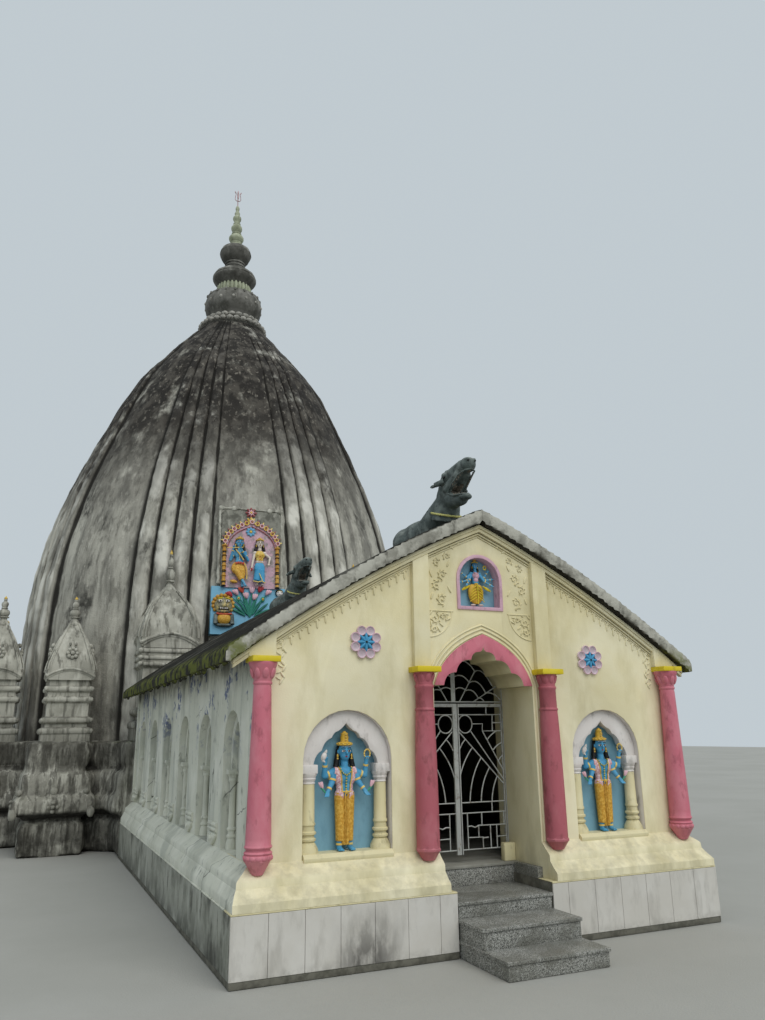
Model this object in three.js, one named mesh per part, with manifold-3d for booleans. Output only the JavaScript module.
// A Hindu temple: a ribbed masonry spire on a moulded stone base ringed by small
// shrines, with a gabled prayer hall in front of it.
// Millimetres, +Z up, the hall's entrance towards -Y. The origin lies on the ground
// at the spire's axis.
import * as THREE from "three";
import { mergeVertices } from "three/addons/utils/BufferGeometryUtils.js";
import Module from "manifold-3d";

const wasm = await Module();
wasm.setup();

// Clearance between pieces that rest against each other
const SEAT = 0.3;
// Room left round anything that swings
const RUNNING = 8;

// Prayer hall, from its tiled plinth up
const HALL_FRONT = -11650;
const HALL_REAR = -4400;
const PLINTH_HALF = 2380;
const PLINTH_TOP = 500;
const STEP_HALF = 475;
const FLOOR_TOP = 590;
const FLOOR_FRONT = HALL_FRONT + 630;
const WALL_FACE = HALL_FRONT + 220;
const WALL_HALF = 2200;
const FRONT_WALL = 700;
const SIDE_WALL = 400;
const REAR_WALL = 300;
const BASE_COURSE = 300;
const STEPS = [
  { front: HALL_FRONT - 730, top: 135 },
  { front: HALL_FRONT - 390, top: 290 },
  { front: HALL_FRONT, top: 415 },
];

// Curved gable roof
const ROOF_HALF = 2470;
const RIDGE_TOP = 3884;
const ROOF_THICK = 146;
const ROOF_FRONT = HALL_FRONT + 85;
const NECK_HALF = 1200;
const ROOF_SLOPE = 0.42;
const ROOF_CURVE = 6.2e-5;
const ROOF_STEPS = 8;

// Entrance arch and gate
const DOOR_HALF = 530;
const SPRING = 2190;
const ARCH_TOP = 2670;
const CUSP_TOP = 2550;
const GATE_PLANE = HALL_FRONT + 760;
const GATE_BOTTOM = 660;
const GATE_TOP = 2050;
const BAR = 25;

// Niches
const NICHE_X = 1360;
const NICHE_HALF = 400;
const NICHE_SILL = 780;
const NICHE_TOP = 1970;
const NICHE_DEEP = 160;
const SIDE_NICHES = 6;
const SIDE_NICHE_FIRST = HALL_FRONT + 930;
const SIDE_NICHE_PITCH = 1145;
const SIDE_NICHE_HALF = 300;
const SIDE_NICHE_TOP = 1990;
const SIDE_NICHE_DEEP = 120;

// Passage from the hall to the sanctum
const PASSAGE_HALF = 600;
const PASSAGE_TOP = 2300;

// Stone base of the tower
const BASE_TOP = 1700;
const CHAMBER_R = 2400;
const ARM_HALF = 2300;
const ARM_REACH = 4620;
const CORE_R = 4380;
const BAY_CENTRE = 3340;
const BAY_HALF = 370;

// Spire
const SPIRE_TOP = 11450;
const SPIRE_TURN = -5;
const PANEL_HALF = 10.5;
const RIBS = 4;
const RIB_PITCH = 5.1;
const RIB_EDGE = 0.6;
const GROOVE = 70;
const PANEL_SUNK = 45;
const FACET_SUNK = 110;
const SPIRE_RINGS = 11;

const degrees = Math.PI / 180;

// Finishes
const finish = (color, roughness, metalness = 0) => ({ color, roughness, metalness });
const FINISHES = {
  stone: finish(0x6b675e, 0.95),
  mortar: finish(0x8a877d, 0.92),
  plaster: finish(0xe0d5a4, 0.85),
  side_plaster: finish(0xb4bdb2, 0.88),
  concrete: finish(0x77756e, 0.93),
  tile: finish(0xc2c3c0, 0.35),
  granite: finish(0x85857f, 0.5),
  pink: finish(0xd06f86, 0.6),
  painted_figure: finish(0x3f8fb0, 0.55),
  beast: finish(0x4c5650, 0.6),
  steel: finish(0xb5b8b6, 0.5, 0.3),
};

// Solids

function toSolid(geometry) {
  const bare = geometry.index ? geometry.toNonIndexed() : geometry.clone();
  bare.deleteAttribute("normal");
  bare.deleteAttribute("uv");
  const merged = mergeVertices(bare, 1e-3);
  const triangles = [];
  for (let i = 0; i < merged.index.count; i += 3) {
    const [a, b, c] = [0, 1, 2].map((k) => merged.index.getX(i + k));
    if (a !== b && b !== c && c !== a) triangles.push(a, b, c);
  }
  const shape = (order) =>
    new wasm.Manifold(
      new wasm.Mesh({
        numProp: 3,
        vertProperties: new Float32Array(merged.attributes.position.array),
        triVerts: new Uint32Array(order),
      }),
    );
  const solid = shape(triangles);
  return solid.volume() > 0 ? solid : shape(triangles.reverse());
}

const join = (solids) => solids.reduce((whole, part) => whole.add(part));
const cut = (solid, cutters) => cutters.reduce((rest, part) => rest.subtract(part), solid);

function toGeometry(solid) {
  const made = solid.getMesh();
  const count = made.numVert;
  const position = new Float32Array(count * 3);
  for (let i = 0; i < count; i++) {
    position.set(made.vertProperties.subarray(i * made.numProp, i * made.numProp + 3), i * 3);
  }
  const geometry = new THREE.BufferGeometry();
  geometry.setAttribute("position", new THREE.BufferAttribute(position, 3));
  geometry.setIndex(new THREE.BufferAttribute(new Uint32Array(made.triVerts), 1));
  geometry.computeVertexNormals();
  return geometry;
}

function piece(parent, name, solid, kind, place = [0, 0, 0]) {
  const mesh = new THREE.Mesh(toGeometry(solid), new THREE.MeshStandardMaterial(FINISHES[kind]));
  mesh.name = name;
  mesh.position.set(...place);
  parent.add(mesh);
  return mesh;
}

// Box between two opposite corners
function boxShape(a, b) {
  const size = a.map((v, i) => Math.abs(b[i] - v));
  const middle = a.map((v, i) => (v + b[i]) / 2);
  return new THREE.BoxGeometry(...size).translate(...middle);
}
const box = (a, b) => toSolid(boxShape(a, b));

// Outline in X and Z, drawn out along Y
function slab(outline, y0, y1) {
  const shape = outline instanceof THREE.Shape ? outline : new THREE.Shape(outline.map(point));
  const drawn = new THREE.ExtrudeGeometry(shape, {
    depth: y1 - y0,
    bevelEnabled: false,
    curveSegments: 6,
  });
  return toSolid(drawn.rotateX(Math.PI / 2).translate(0, y1, 0));
}
const point = ([x, y]) => new THREE.Vector2(x, y);

// Outline in Y and Z, drawn out along X
function wallSlab(outline, x0, x1) {
  const turned = new THREE.Shape(outline.map(point));
  const drawn = new THREE.ExtrudeGeometry(turned, { depth: x1 - x0, bevelEnabled: false });
  return toSolid(drawn.rotateX(Math.PI / 2).rotateZ(Math.PI / 2).translate(x0, 0, 0));
}

// Profile of radius and height, turned about Z
function turnedShape(profile, segments, start = 0) {
  return new THREE.LatheGeometry(profile.map(point), segments, start).rotateX(Math.PI / 2);
}
const turned = (profile, segments, place = [0, 0, 0]) =>
  toSolid(turnedShape(profile, segments).translate(...place));

const ball = (radii, place, segments = 8) =>
  toSolid(new THREE.SphereGeometry(1, segments, 6).scale(...radii).translate(...place));

// Rounded limb between two points
function limb(from, to, r0, r1, sides = 6) {
  const a = new THREE.Vector3(...from);
  const b = new THREE.Vector3(...to);
  const length = a.distanceTo(b);
  const rod = new THREE.CylinderGeometry(r1, r0, length, sides).translate(0, length / 2, 0);
  const turn = new THREE.Quaternion().setFromUnitVectors(
    new THREE.Vector3(0, 1, 0),
    b.clone().sub(a).normalize(),
  );
  return toSolid(rod.applyQuaternion(turn).translate(...from));
}

const temple = new THREE.Group();
const tower = new THREE.Group();
const hall = new THREE.Group();
temple.add(tower, hall);
const SIDES = [
  ["left", -1],
  ["right", 1],
];

// Roof curve of the hall, what lies above its ceiling and what lies under its top
const roofTop = (x) => RIDGE_TOP - ROOF_SLOPE * Math.abs(x) - ROOF_CURVE * x * x;
const across = (s) =>
  Array.from({ length: ROOF_STEPS + 1 }, (_, i) => (s * ROOF_HALF * i) / ROOF_STEPS);
const skyLine = [...across(-1).slice(1).reverse(), ...across(1)];
const SKY = 6000;
const sky = slab(
  [...skyLine.map((x) => [x, roofTop(x) - ROOF_THICK - SEAT]), [ROOF_HALF, SKY], [-ROOF_HALF, SKY]],
  HALL_FRONT - 500,
  0,
);
const underRoof = slab(
  [...skyLine.map((x) => [x, roofTop(x) + SEAT]), [ROOF_HALF, 0], [-ROOF_HALF, 0]],
  HALL_FRONT,
  0,
);

// Tower base: stacked courses of one plan, each set in or out
const COURSES = [
  [0, 450, 120],
  [450, 600, 50],
  [600, 850, 240],
  [850, 950, 20],
  [950, 1220, 160],
  [1220, 1320, 0],
  [1320, BASE_TOP, 100],
];

function courseSolid([bottom, top, out]) {
  const reach = ARM_REACH + out;
  const half = ARM_HALF + out;
  const arms = [
    box([-reach, -half, bottom], [reach, half, top]),
    box([-half, HALL_REAR + SEAT, bottom], [half, reach, top]),
  ];
  const core = turned([[0, bottom], [CORE_R + out, bottom], [CORE_R + out, top], [0, top]], 24);
  const bays = [-1, 1].flatMap((x) =>
    [-1, 1].map((y) => {
      const inner = BAY_CENTRE - BAY_HALF - out;
      const outer = BAY_CENTRE + BAY_HALF + out;
      return box([x * inner, y * inner, bottom], [x * outer, y * outer, top]);
    }),
  );
  return join([...arms, core, ...bays]);
}

const chamber = turned([[0, -1], [CHAMBER_R, -1], [CHAMBER_R, BASE_TOP + 1], [0, BASE_TOP + 1]], 32);
const passage = box(
  [-PASSAGE_HALF, HALL_REAR - 600, -1],
  [PASSAGE_HALF, -CHAMBER_R + 400, PASSAGE_TOP],
);
const hallRoom = box([-ARM_HALF, -ARM_REACH * 2, -1], [ARM_HALF, HALL_REAR + SEAT, BASE_TOP + 1]);
const stoneBase = cut(join(COURSES.map(courseSolid)), [chamber, passage, hallRoom]);
const FAR = 20000;
for (const [side, s] of SIDES) {
  const half = stoneBase.intersect(box([0, -FAR, -1], [s * FAR, FAR, FAR]));
  piece(tower, `tower_base_${side}`, half, "stone");
}

const sanctumFloor = join([
  turned([[0, 0], [CHAMBER_R - SEAT, 0], [CHAMBER_R - SEAT, FLOOR_TOP], [0, FLOOR_TOP]], 32),
  box(
    [-PASSAGE_HALF + SEAT, HALL_REAR + SEAT, 0],
    [PASSAGE_HALF - SEAT, -CHAMBER_R + 300, FLOOR_TOP],
  ),
]);
piece(tower, "sanctum_floor", sanctumFloor, "stone");

// Spire: radius along the height, and a ribbed plan round the axis
const SPIRE_OUTLINE = new THREE.SplineCurve(
  [
    [4120, BASE_TOP],
    [4100, 3500],
    [3970, 5000],
    [3590, 6500],
    [3000, 8000],
    [2310, 9500],
    [1590, 10500],
    [790, SPIRE_TOP],
  ].map(point),
);

// Angle from a face's middle, and how far the surface lies in there
function octant() {
  const edges = [[0, PANEL_SUNK], [PANEL_HALF - RIB_EDGE, PANEL_SUNK], [PANEL_HALF, GROOVE]];
  for (let rib = 1; rib <= RIBS; rib++) {
    const start = PANEL_HALF + (rib - 1) * RIB_PITCH;
    const end = start + RIB_PITCH;
    edges.push([start + RIB_EDGE, 0], [end - RIB_EDGE, 0]);
    edges.push([end, rib < RIBS ? GROOVE : FACET_SUNK]);
  }
  edges.push([38, FACET_SUNK / 2]);
  return edges;
}

function ribbedPlan() {
  const half = octant();
  const back = half.slice(1).reverse().map(([angle, sunk]) => [90 - angle, sunk]);
  const quarter = [...half, [45, FACET_SUNK / 2], ...back];
  return [0, 90, 180, 270].flatMap((face) => quarter.map(([a, sunk]) => [face + a, sunk]));
}

function spireShape(grow, plan = ribbedPlan()) {
  const rings = SPIRE_OUTLINE.getPoints(SPIRE_RINGS);
  const vertices = [];
  for (const ring of rings) {
    for (const [angle, sunk] of plan) {
      const turn = (angle - 90 + SPIRE_TURN) * degrees;
      const r = ring.x + grow - (sunk * ring.x) / rings[0].x;
      vertices.push(r * Math.cos(turn), r * Math.sin(turn), ring.y);
    }
  }
  const n = plan.length;
  const low = vertices.length / 3;
  vertices.push(0, 0, rings[0].y, 0, 0, rings.at(-1).y);
  const faces = [];
  for (let i = 0; i < n; i++) {
    const j = (i + 1) % n;
    for (let k = 0; k < rings.length - 1; k++) {
      const [a, b, c, d] = [k * n + i, k * n + j, (k + 1) * n + j, (k + 1) * n + i];
      faces.push(a, b, c, a, c, d);
    }
    const last = (rings.length - 1) * n;
    faces.push(low, j, i, low + 1, last + i, last + j);
  }
  const geometry = new THREE.BufferGeometry();
  geometry.setAttribute("position", new THREE.Float32BufferAttribute(vertices, 3));
  geometry.setIndex(faces);
  return geometry;
}

// What touches the spire is cut back to a plain round envelope of its ribs
const envelope = () =>
  spireShape(SEAT * 2, ribbedPlan().map(([angle]) => [angle, 0]));

const hollow = turned(
  [
    [0, BASE_TOP - 1],
    [CHAMBER_R, BASE_TOP - 1],
    [CHAMBER_R, 4200],
    [2250, 5500],
    [1850, 7000],
    [1150, 8500],
    [450, 9400],
    [0, 9700],
  ],
  24,
);
const spire = cut(toSolid(spireShape(0)), [hollow, passage]);
for (const [side, s] of SIDES) {
  for (const [end, e] of [["front", -1], ["rear", 1]]) {
    const quarter = spire.intersect(box([0, 0, 0], [s * FAR, e * FAR, FAR]));
    piece(tower, `spire_${end}_${side}`, quarter, "mortar");
  }
}

// Finial: pots and collars stacked on the spire, with a trident on top
const FINIAL = [
  [760, 0], [860, 60], [840, 130], [660, 170], [640, 300], [560, 340],
  [620, 500], [710, 650], [700, 830], [620, 990], [430, 1060], [390, 1110],
  [390, 1340], [440, 1380], [550, 1540], [520, 1660], [360, 1790], [250, 1850],
  [250, 2050], [340, 2130], [400, 2310], [370, 2440], [240, 2540], [150, 2600],
  [140, 2680], [190, 2760], [190, 2840], [110, 2920], [100, 3020], [140, 3090],
  [140, 3160], [80, 3240], [75, 3330], [105, 3390], [105, 3440], [55, 3520], [40, 3800],
];
const FINIAL_TOP = SPIRE_TOP + FINIAL.at(-1)[1];
const finial = turned([[0, 0], ...FINIAL, [0, FINIAL.at(-1)[1]]], 14);
piece(tower, "finial", finial, "mortar", [0, 0, SPIRE_TOP]);

const TRIDENT = 490;
const prong = (s) =>
  join([
    limb([0, 0, 160], [s * 75, 0, 230], 12, 12, 6),
    limb([s * 75, 0, 225], [s * 62, 0, TRIDENT - 70], 12, 4, 6),
  ]);
const trident = join([limb([0, 0, 0], [0, 0, TRIDENT], 16, 4, 6), prong(-1), prong(1)]);
piece(tower, "trident", trident, "steel", [0, 0, FINIAL_TOP]);

// Small shrines round the spire
function shrineSolid({ width, body, dome, top, curve }) {
  const w = width / 2;
  const faces = (points) => {
    const corners = points.map(([across, z]) => [across * w * Math.SQRT2, z]);
    return toSolid(turnedShape(corners, 4, Math.PI / 4));
  };
  const b = body;
  const lower = faces([
    [0, 0], [1.02, 0], [1.02, 0.12 * b], [1.1, 0.14 * b], [1.1, 0.21 * b],
    [1, 0.23 * b], [1, 0.28 * b], [1.06, 0.3 * b], [1.06, 0.36 * b],
    [0.9, 0.38 * b], [0.9, 0.6 * b], [1, 0.62 * b], [1, 0.68 * b],
    [0.9, 0.7 * b], [0.9, 0.75 * b], [1, 0.77 * b], [1, 0.83 * b],
    [0.82, 0.85 * b], [0.82, b], [0, b],
  ]);
  const d = dome;
  const upper = faces([[0, b], ...curve.map(([out, up]) => [out, b + up * d]), [0, b + d]]);
  const eave = hood(w);
  const t = b + d;
  const knob = turned(
    [
      [0, t - 5], [0.28 * w, t - 5], [0.16 * w, t + 0.18 * top], [0.22 * w, t + 0.28 * top],
      [0.22 * w, t + 0.42 * top], [0.12 * w, t + 0.55 * top], [0.14 * w, t + 0.72 * top],
      [0, t + top],
    ],
    6,
  );
  return join([lower, upper, eave.translate([0, 0, b]), knob]);
}

// Curved hood over all four faces of a shrine
function hood(w) {
  const arch = new THREE.Shape();
  arch.moveTo(-1.05 * w, -0.12 * w);
  arch.quadraticCurveTo(0, 0.5 * w, 1.05 * w, -0.12 * w);
  arch.lineTo(0.9 * w, -0.18 * w);
  arch.lineTo(-0.9 * w, -0.18 * w);
  const across = slab(arch, -0.98 * w, 0.98 * w);
  return across.add(across.rotate([0, 0, 90]));
}

// Dome outlines: share of the half width at each share of the height
const POINTED = [[0.96, 0], [0.95, 0.2], [0.74, 0.47], [0.54, 0.7], [0.35, 0.87], [0.2, 1]];
const FULL = [[0.97, 0], [0.98, 0.15], [0.93, 0.33], [0.8, 0.53], [0.61, 0.74], [0.25, 1]];
const CORNER_SHRINE = { width: 740, body: 1060, dome: 890, top: 480, curve: POINTED };
const FACE_SHRINE = { width: 950, body: 1590, dome: 930, top: 750, curve: FULL };
const SIDE_SHRINE = { width: 800, body: 1150, dome: 940, top: 520, curve: POINTED };
const SHRINES = [
  ["corner", CORNER_SHRINE, 3240, 3240],
  ["face", FACE_SHRINE, 1750, 3790],
  ["side", SIDE_SHRINE, 4400, 1780],
];
for (const [kind, size, x, y] of SHRINES) {
  const solid = shrineSolid(size);
  for (const [side, s] of SIDES) {
    for (const [end, e] of [["front", -1], ["rear", 1]]) {
      const place = [s * x, e * y, BASE_TOP];
      const wall = toSolid(envelope().translate(...place.map((v) => -v)));
      piece(tower, `${kind}_shrine_${end}_${side}`, solid.subtract(wall), "mortar", place);
    }
  }
}

// Painted relief on the spire's front face, leaning with it
const RELIEF_FOOT = 3350;
const RELIEF_MIDDLE = 4380;
const RELIEF_LEAN = 5.5 * degrees;
const RELIEF_FACE = 4120;
function reliefSolid() {
  const upper = new THREE.Shape();
  upper.moveTo(-520, 0);
  upper.lineTo(520, 0);
  upper.lineTo(520, 950);
  upper.quadraticCurveTo(400, 1330, 0, 1430);
  upper.quadraticCurveTo(-400, 1330, -520, 950);
  const rise = RELIEF_MIDDLE - RELIEF_FOOT;
  const figures = [-210, 210].flatMap((x) => [
    limb([x, -70, rise], [x, -70, rise + 560], 150, 105, 8),
    ball([125, 75, 260], [x, -70, rise + 700]),
    ball([80, 80, 100], [x, -90, rise + 1010]),
  ]);
  const parts = [
    slab([[-680, 0], [640, 0], [640, rise], [-680, rise]], -30, 500),
    slab(upper, -60, 500).translate([0, 0, rise - 1]),
    ...figures,
    ball([190, 130, 190], [-430, -60, 760]),
    ball([420, 80, 180], [130, -40, 800]),
  ];
  return join(parts);
}
const leaning = reliefSolid().rotate([-RELIEF_LEAN / degrees, 0, 0]);
const faced = leaning.translate([0, -RELIEF_FACE, RELIEF_FOOT]).rotate([0, 0, SPIRE_TURN]);
piece(tower, "spire_relief", cut(faced, [toSolid(envelope()), underRoof]), "painted_figure");

// Hall plinth, floor and steps
for (const [side, s] of SIDES) {
  const long = box(
    [s * (WALL_HALF - SIDE_WALL), HALL_FRONT, 0],
    [s * PLINTH_HALF, HALL_REAR, PLINTH_TOP],
  );
  const front = box(
    [s * STEP_HALF, HALL_FRONT, 0],
    [s * PLINTH_HALF, WALL_FACE + FRONT_WALL, PLINTH_TOP],
  );
  piece(hall, `hall_plinth_${side}`, long.add(front), "tile");
}

const floorHalf = WALL_HALF - SIDE_WALL;
const hallFloor = join([
  box([-STEP_HALF, FLOOR_FRONT, 0], [STEP_HALF, WALL_FACE + FRONT_WALL + 1, PLINTH_TOP + 1]),
  box([-DOOR_HALF, FLOOR_FRONT, PLINTH_TOP], [DOOR_HALF, WALL_FACE + FRONT_WALL + 1, FLOOR_TOP]),
  box([-floorHalf, WALL_FACE + FRONT_WALL, 0], [floorHalf, HALL_REAR - REAR_WALL, FLOOR_TOP]),
  box([-PASSAGE_HALF, HALL_REAR - REAR_WALL - 1, 0], [PASSAGE_HALF, HALL_REAR, FLOOR_TOP]),
]);
piece(hall, "hall_floor", hallFloor, "granite");

STEPS.forEach(({ front, top }, i) => {
  const bottom = i ? STEPS[i - 1].top : 0;
  const step = box([-STEP_HALF, front, bottom], [STEP_HALF, FLOOR_FRONT, top]);
  piece(hall, `entrance_step_${i + 1}`, step, "granite");
});

const wallOfSpire = toSolid(envelope());
for (const [side, s] of SIDES) {
  const top = across(s).map((x) => [x, roofTop(x)]);
  const under = top.map(([x, z]) => [x, z - ROOF_THICK]).reverse();
  const outline = [...top, ...under];
  const neck = slab(outline, HALL_REAR - 1, -CHAMBER_R).intersect(
    box([-NECK_HALF, -FAR, 0], [NECK_HALF, 0, FAR]),
  );
  const whole = slab(outline, ROOF_FRONT, HALL_REAR).add(neck).subtract(wallOfSpire);
  piece(hall, `roof_${side}`, whole, "concrete");
}

// Walls
function archOutline(half, sill, top) {
  const spring = top - half;
  const shape = new THREE.Shape();
  shape.moveTo(-half, sill);
  shape.lineTo(half, sill);
  shape.lineTo(half, spring);
  shape.bezierCurveTo(half, spring + 0.55 * half, 0.55 * half, top, 0, top);
  shape.bezierCurveTo(-0.55 * half, top, -half, spring + 0.55 * half, -half, spring);
  return shape;
}

const ARCH_SHOULDER = 0.83;
const ARCH_DROP = 150;
function doorArch(half, top) {
  const shape = new THREE.Shape();
  shape.moveTo(-half, PLINTH_TOP);
  shape.lineTo(half, PLINTH_TOP);
  shape.lineTo(half, SPRING);
  shape.quadraticCurveTo(half * ARCH_SHOULDER, top - ARCH_DROP, 0, top);
  shape.quadraticCurveTo(-half * ARCH_SHOULDER, top - ARCH_DROP, -half, SPRING);
  return shape;
}

// Moulded base course: how far it stands out from the wall, by height
const COURSE_TOP = PLINTH_TOP + BASE_COURSE;
const SIDE_REACH = 170;
const courseProfile = [
  [220, PLINTH_TOP], [220, PLINTH_TOP + 65], [130, PLINTH_TOP + 140], [120, PLINTH_TOP + 200],
  [30, PLINTH_TOP + 280], [0, COURSE_TOP],
];

// Attached columns at the corners and beside the door: place, top, foot and radius
const COLUMN_AXIS = WALL_FACE - 70;
const COLUMNS = [
  ["corner_column", 2145, COLUMN_AXIS, 2400, 735, 100],
  ["door_column", 660, COLUMN_AXIS, 2346, 738, 98],
];
const ABACUS = { half: 120, high: 50 };
function columnSolid(top, foot, radius) {
  const r = radius;
  const shaft = turned(
    [
      [0, foot], [0.5 * r, foot], [1.17 * r, foot + 115], [1.12 * r, foot + 210], [r, foot + 225],
      [0.8 * r, top - 195], [0.9 * r, top - 185], [0.85 * r, top - 165],
      [1.2 * r, top - 65], [1.2 * r, top - 45], [0, top - 45],
    ],
    12,
  );
  const { half, high } = ABACUS;
  return shaft.add(box([-half, -half, top - high], [half, half, top]));
}
const behindFace = (gap) =>
  box([-WALL_HALF - gap, WALL_FACE - gap, 0], [WALL_HALF + gap, HALL_REAR, RIDGE_TOP]);
const sockets = (s) =>
  COLUMNS.map(([, x, y, top, foot, radius]) => {
    const loose = columnSolid(top + SEAT, foot - SEAT, radius + SEAT).translate([s * x, y, 0]);
    return loose.subtract(behindFace(0));
  });

// Blind niches along a side wall; the first one is cut into the end of the front wall
function sideNiches(s) {
  const face = s * WALL_HALF;
  return Array.from({ length: SIDE_NICHES }, (_, i) => {
    const hole = slab(archOutline(SIDE_NICHE_HALF, COURSE_TOP, SIDE_NICHE_TOP), 0, 2 * SIDE_NICHE_DEEP);
    const y = SIDE_NICHE_FIRST + i * SIDE_NICHE_PITCH;
    return hole.rotate([0, 0, 90]).translate([face + SIDE_NICHE_DEEP, y, 0]);
  });
}

// The base course runs round the corner, so its block is where the front and side profiles meet
const sideCourse = (s, inner, y0, y1) => {
  const face = courseProfile.map(([out, z]) => [s * (WALL_HALF + Math.min(out, SIDE_REACH)), z]);
  return slab([...face, [inner, COURSE_TOP], [inner, PLINTH_TOP]], y0, y1);
};
for (const [side, s] of SIDES) {
  const inner = s * DOOR_HALF;
  const outer = s * WALL_HALF;
  const back = WALL_FACE + FRONT_WALL;
  const pier = box([inner, WALL_FACE, PLINTH_TOP], [outer, back, SPRING]);
  const face = courseProfile.map(([out, z]) => [WALL_FACE - out, z]);
  const ends = [inner, outer + s * SIDE_REACH].sort((a, b) => a - b);
  const frontCourse = wallSlab([...face, [back, COURSE_TOP], [back, PLINTH_TOP]], ...ends);
  const course = frontCourse.intersect(sideCourse(s, inner, HALL_FRONT, back));
  const opening = archOutline(NICHE_HALF, NICHE_SILL + 20, NICHE_TOP);
  const niche = slab(opening, WALL_FACE - 300, WALL_FACE + NICHE_DEEP).translate([s * NICHE_X, 0, 0]);
  const wall = cut(pier.add(course), [niche, ...sideNiches(s), ...sockets(s)]);
  piece(hall, `front_wall_${side}`, wall, "plaster");
}
const doorway = slab(doorArch(DOOR_HALF, ARCH_TOP), WALL_FACE - 10, WALL_FACE + FRONT_WALL + 10);
const gableNiche = slab(archOutline(220, 2930, 3410), WALL_FACE - 10, WALL_FACE + 110);
// Strips over the columns, and the moulding that follows the roof out to the eaves
const STRIP_PROUD = 60;
const STRIPS = [
  [575, 740, 2346],
  [2030, 2265, 2400],
];
const RAKE = { half: 2400, high: 75 };
const gableStrips = SIDES.flatMap(([, s]) =>
  STRIPS.map(([inner, outer, foot]) =>
    box([s * inner, WALL_FACE - STRIP_PROUD, foot + SEAT], [s * outer, WALL_FACE + 10, RIDGE_TOP]),
  ),
);
const rakeFront = [-RAKE.half, WALL_FACE - STRIP_PROUD, SPRING];
const rakeBack = [RAKE.half, WALL_FACE, RIDGE_TOP];
const rake = box(rakeFront, rakeBack).intersect(sky.translate([0, 0, -RAKE.high]));
const gable = join([
  box([-WALL_HALF, WALL_FACE, SPRING], [WALL_HALF, WALL_FACE + FRONT_WALL, RIDGE_TOP]),
  ...gableStrips,
  rake,
]);
const gableCutters = [doorway, gableNiche, sky, ...sockets(-1), ...sockets(1)];
piece(hall, "front_gable", cut(gable, gableCutters), "plaster");

for (const [side, s] of SIDES) {
  const start = WALL_FACE + FRONT_WALL;
  const inner = s * floorHalf;
  const wall = box([inner, start, PLINTH_TOP], [s * WALL_HALF, HALL_REAR, RIDGE_TOP]);
  const course = sideCourse(s, inner, start, HALL_REAR);
  piece(hall, `side_wall_${side}`, cut(wall.add(course), [...sideNiches(s), sky]), "side_plaster");
}

const neckWall = box([-NECK_HALF, HALL_REAR - 1, BASE_TOP], [NECK_HALF, -CHAMBER_R, RIDGE_TOP]);
const rearWall = cut(
  box([-floorHalf, HALL_REAR - REAR_WALL, 0], [floorHalf, HALL_REAR, RIDGE_TOP]).add(neckWall),
  [box([-PASSAGE_HALF, HALL_REAR - 1000, -1], [PASSAGE_HALF, 0, PASSAGE_TOP]), sky, wallOfSpire],
);
// The rear wall is built in three: a pier each side of the passage, and the head over it
const rearPart = (low, high) => rearWall.intersect(box([low, -FAR, 0], [high, 0, FAR]));
piece(hall, "rear_wall_left", rearPart(-FAR, -PASSAGE_HALF), "plaster");
piece(hall, "rear_wall_right", rearPart(PASSAGE_HALF, FAR), "plaster");
piece(hall, "rear_wall_head", rearPart(-PASSAGE_HALF, PASSAGE_HALF), "plaster");

// Cusped arch round the head of the doorway
const CUSPS = [[430, SPRING], [297, 2308], [134, 2425], [0, CUSP_TOP]];
const FOIL_HOLLOW = 0.36;
const ARCH_PROUD = 20;
const ARCH_DEEP = 460;
function cuspedArch() {
  const half = DOOR_HALF - SEAT;
  const shape = new THREE.Shape();
  shape.moveTo(half, SPRING);
  shape.quadraticCurveTo(half * ARCH_SHOULDER, ARCH_TOP - ARCH_DROP - SEAT, 0, ARCH_TOP - SEAT);
  shape.quadraticCurveTo(-half * ARCH_SHOULDER, ARCH_TOP - ARCH_DROP - SEAT, -half, SPRING);
  shape.lineTo(-CUSPS[0][0], SPRING);
  // Each foil hollows out between two cusps, by a share of the distance between them
  const foil = (low, high, end, s) => {
    const hollow = FOIL_HOLLOW * Math.hypot(high[0] - low[0], high[1] - low[1]);
    const middle = [(low[0] + high[0]) / 2 + 0.8 * hollow, (low[1] + high[1]) / 2 + hollow];
    shape.quadraticCurveTo(s * middle[0], middle[1], s * end[0], end[1]);
  };
  const pairs = CUSPS.slice(1).map((high, i) => [CUSPS[i], high]);
  pairs.forEach(([low, high]) => foil(low, high, high, -1));
  pairs.reverse().forEach(([low, high]) => foil(low, high, low, 1));
  shape.lineTo(half, SPRING);
  return slab(shape, WALL_FACE - ARCH_PROUD, WALL_FACE + ARCH_DEEP);
}
piece(hall, "cusped_arch", cuspedArch(), "pink");

for (const [name, x, y, top, foot, radius] of COLUMNS) {
  for (const [side, s] of SIDES) {
    const place = [s * x, y, 0];
    const back = place.map((v) => -v);
    const cutters = [behindFace(SEAT).translate(back), sky.translate(back)];
    piece(hall, `${name}_${side}`, cut(columnSolid(top, foot, radius), cutters), "pink", place);
  }
}

// Gate: a fixed frame with an arched fanlight, and two leaves that swing inwards
const gate = new THREE.Group();
gate.position.set(0, GATE_PLANE, 0);
hall.add(gate);
const bar = (x0, z0, x1, z1, deep = BAR) => box([x0, -deep / 2, z0], [x1, deep / 2, z1]);

const JAMB = 10;
const PIN_X = DOOR_HALF - JAMB - 9;
const PIN_Y = BAR / 2 + 6;
const KNUCKLE = 6;
const HINGES = [820, 1880];
const FAN_RAIL = GATE_TOP + RUNNING;

const pinLeg = (x, z0, z1) => limb([x, PIN_Y, z0], [x, PIN_Y, z1], KNUCKLE, KNUCKLE, 8);

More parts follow.
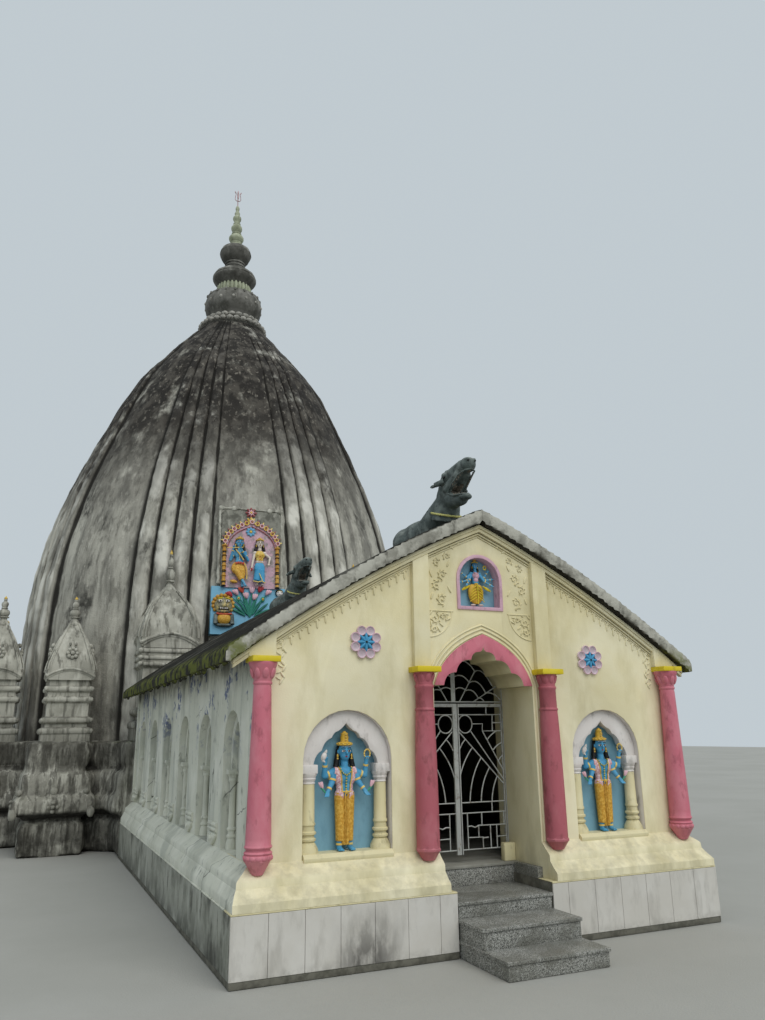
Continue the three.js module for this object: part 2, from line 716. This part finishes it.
function fanlight() {
  const outer = slab(doorArch(DOOR_HALF - SEAT, ARCH_TOP - 2 * SEAT), -BAR / 2, BAR / 2);
  const inner = slab(doorArch(DOOR_HALF - JAMB, ARCH_TOP - JAMB * 2), -BAR, BAR);
  const below = box([-FAR, -FAR, 0], [FAR, FAR, FLOOR_TOP]);
  const band = cut(outer, [inner, below]);
  const rays = [-62, -31, 0, 31, 62].map((angle) => {
    const reach = 640;
    const [out, up] = [Math.sin(angle * degrees), Math.cos(angle * degrees)];
    return limb([0, 0, FAN_RAIL + 20], [reach * out, 0, FAN_RAIL + 20 + reach * up], 8, 8, 6);
  });
  const hoop = new THREE.Shape();
  hoop.absarc(0, FAN_RAIL + 10, 330, 0, Math.PI);
  hoop.absarc(0, FAN_RAIL + 10, 312, Math.PI, 0, true);
  const inside = slab(doorArch(DOOR_HALF - SEAT, ARCH_TOP - 2 * SEAT), -BAR, BAR);
  const filling = join([...rays, slab(hoop, -8, 8)]).intersect(inside);
  const rail = bar(-DOOR_HALF + JAMB - 1, FAN_RAIL, DOOR_HALF - JAMB + 1, FAN_RAIL + 30);
  const ears = SIDES.flatMap(([, s]) =>
    HINGES.flatMap((z) => [
      pinLeg(s * PIN_X, z - 50, z - SEAT),
      box([s * PIN_X, PIN_Y - 4, z - 50], [s * (DOOR_HALF - JAMB / 2), PIN_Y + 4, z - SEAT]),
      box([s * (DOOR_HALF - JAMB), 0, z - 50], [s * (DOOR_HALF - SEAT), PIN_Y + 4, z - SEAT]),
    ]),
  );
  return join([band, filling, rail, ...ears]);
}
piece(gate, "gate_frame", fanlight(), "steel");

const MEETING_GAP = 4;
const LOWER_RAIL = 1108;
const LEAF_RAILS = [GATE_BOTTOM, 1013, LOWER_RAIL, 1928, GATE_TOP - BAR];
const RING = { z: 1850, outer: 84, inner: 70 };
const SLANT_TOP = 1778;
const SLANT_LOW = 1262;
const ROD = 8;
function leafSolid(s, stile, ringX) {
  const outer = PIN_X - 5;
  const x = (v) => s * v;
  const wide = outer - MEETING_GAP;
  const rails = LEAF_RAILS.map((z) => bar(x(MEETING_GAP), z, x(outer), z + BAR));
  const stiles = [
    bar(x(MEETING_GAP), GATE_BOTTOM, x(MEETING_GAP + stile), GATE_TOP),
    bar(x(outer - BAR), GATE_BOTTOM, x(outer), GATE_TOP),
  ];
  const ring = new THREE.Shape();
  ring.absarc(x(ringX), RING.z, RING.outer, 0, 2 * Math.PI);
  const eye = new THREE.Path();
  eye.absarc(x(ringX), RING.z, RING.inner, 0, 2 * Math.PI, true);
  ring.holes.push(eye);
  // Two slanting rods from the ring to the hinge side, and rods that hang from the lower one
  const slants = [-60, 50].map((out) =>
    limb([x(ringX + out), 0, SLANT_TOP], [x(outer - ROD), 0, SLANT_LOW + out], ROD, ROD, 6),
  );
  const hung = [0.3, 0.55, 0.8].map((share) => {
    const top = SLANT_TOP + share * (SLANT_LOW - SLANT_TOP) - 30;
    const foot = MEETING_GAP + share * wide - 60;
    return limb([x(ringX - 60 + share * (outer - ringX)), 0, top], [x(foot), 0, LOWER_RAIL], ROD, ROD, 6);
  });
  const lower = [0.33, 0.66].map((share) =>
    bar(x(share * wide), GATE_BOTTOM + 10, x(share * wide + 2 * ROD), LOWER_RAIL, 2 * ROD),
  );
  const hinges = HINGES.flatMap((z) => [
    pinLeg(x(PIN_X), z, z + 50),
    box([x(PIN_X), BAR / 2 - 3, z], [x(outer - 12), PIN_Y + 3, z + 50]),
  ]);
  return join([...rails, ...stiles, slab(ring, -ROD, ROD), ...slants, ...hung, ...lower, ...hinges]);
}
piece(gate, "gate_leaf_left", leafSolid(-1, 44, 134), "steel");
piece(gate, "gate_leaf_right", leafSolid(1, 20, 92), "steel");

// Guardian figures standing in the front niches, close to the back of them
const GUARDIAN_PROUD = 62;
function guardianSolid() {
  const skirt = toSolid(
    turnedShape([[0, 0], [70, 0], [92, 60], [96, 300], [85, 480], [0, 480]], 10).scale(1, 0.6, 1),
  );
  const arms = SIDES.flatMap(([, s]) => [
    limb([s * 90, 0, 760], [s * 165, -10, 640], 32, 26),
    limb([s * 165, -10, 640], [s * 175, -40, 800], 26, 20),
    limb([s * 100, 5, 770], [s * 170, 5, 590], 28, 24),
    limb([s * 170, 5, 590], [s * 95, -60, 610], 24, 20),
  ]);
  return join([
    box([-110, -60, -40], [110, GUARDIAN_PROUD, 12]),
    skirt,
    ball([105, 60, 190], [0, 0, 640]),
    ball([62, 62, 82], [0, -5, 850]),
    turned([[0, 0], [58, 0], [62, 30], [48, 70], [0, 85]], 10, [0, 0, 895]),
    limb([0, 0, 760], [0, 0, 850], 40, 36),
    ...arms,
  ]);
}
for (const [side, s] of SIDES) {
  const place = [s * NICHE_X, WALL_FACE + NICHE_DEEP - GUARDIAN_PROUD - SEAT, NICHE_SILL + 60 + SEAT];
  piece(hall, `guardian_${side}`, guardianSolid(), "painted_figure", place);
}

// Crouching beasts on the ridge, with the neck raised and the jaws open
const BEASTS = [
  ["roof_beast_front", HALL_FRONT + 790],
  ["roof_beast_rear", HALL_REAR - 1330],
];
function beastSolid() {
  const horns = [-1, 1].map((s) => limb([s * 70, -10, 450], [s * 150, 110, 530], 32, 10));
  return join([
    ball([175, 500, 200], [0, 700, 20], 12),
    ball([165, 260, 170], [0, 900, 50], 12),
    limb([0, 520, 20], [0, 60, 130], 170, 150, 10),
    limb([0, 140, 40], [0, -20, 330], 165, 130, 10),
    ball([120, 170, 135], [0, -70, 380], 10),
    limb([0, -60, 400], [0, -450, 545], 115, 62, 8),
    ball([62, 70, 60], [0, -450, 540]),
    limb([0, -20, 300], [0, -410, 195], 90, 36, 8),
    ...horns,
    box([-150, 80, -250], [150, 1150, 20]),
  ]);
}
for (const [name, y] of BEASTS) {
  const seat = underRoof.translate([0, -y, -RIDGE_TOP]);
  piece(hall, name, beastSolid().subtract(seat), "beast", [0, y, RIDGE_TOP]);
}

export default temple;
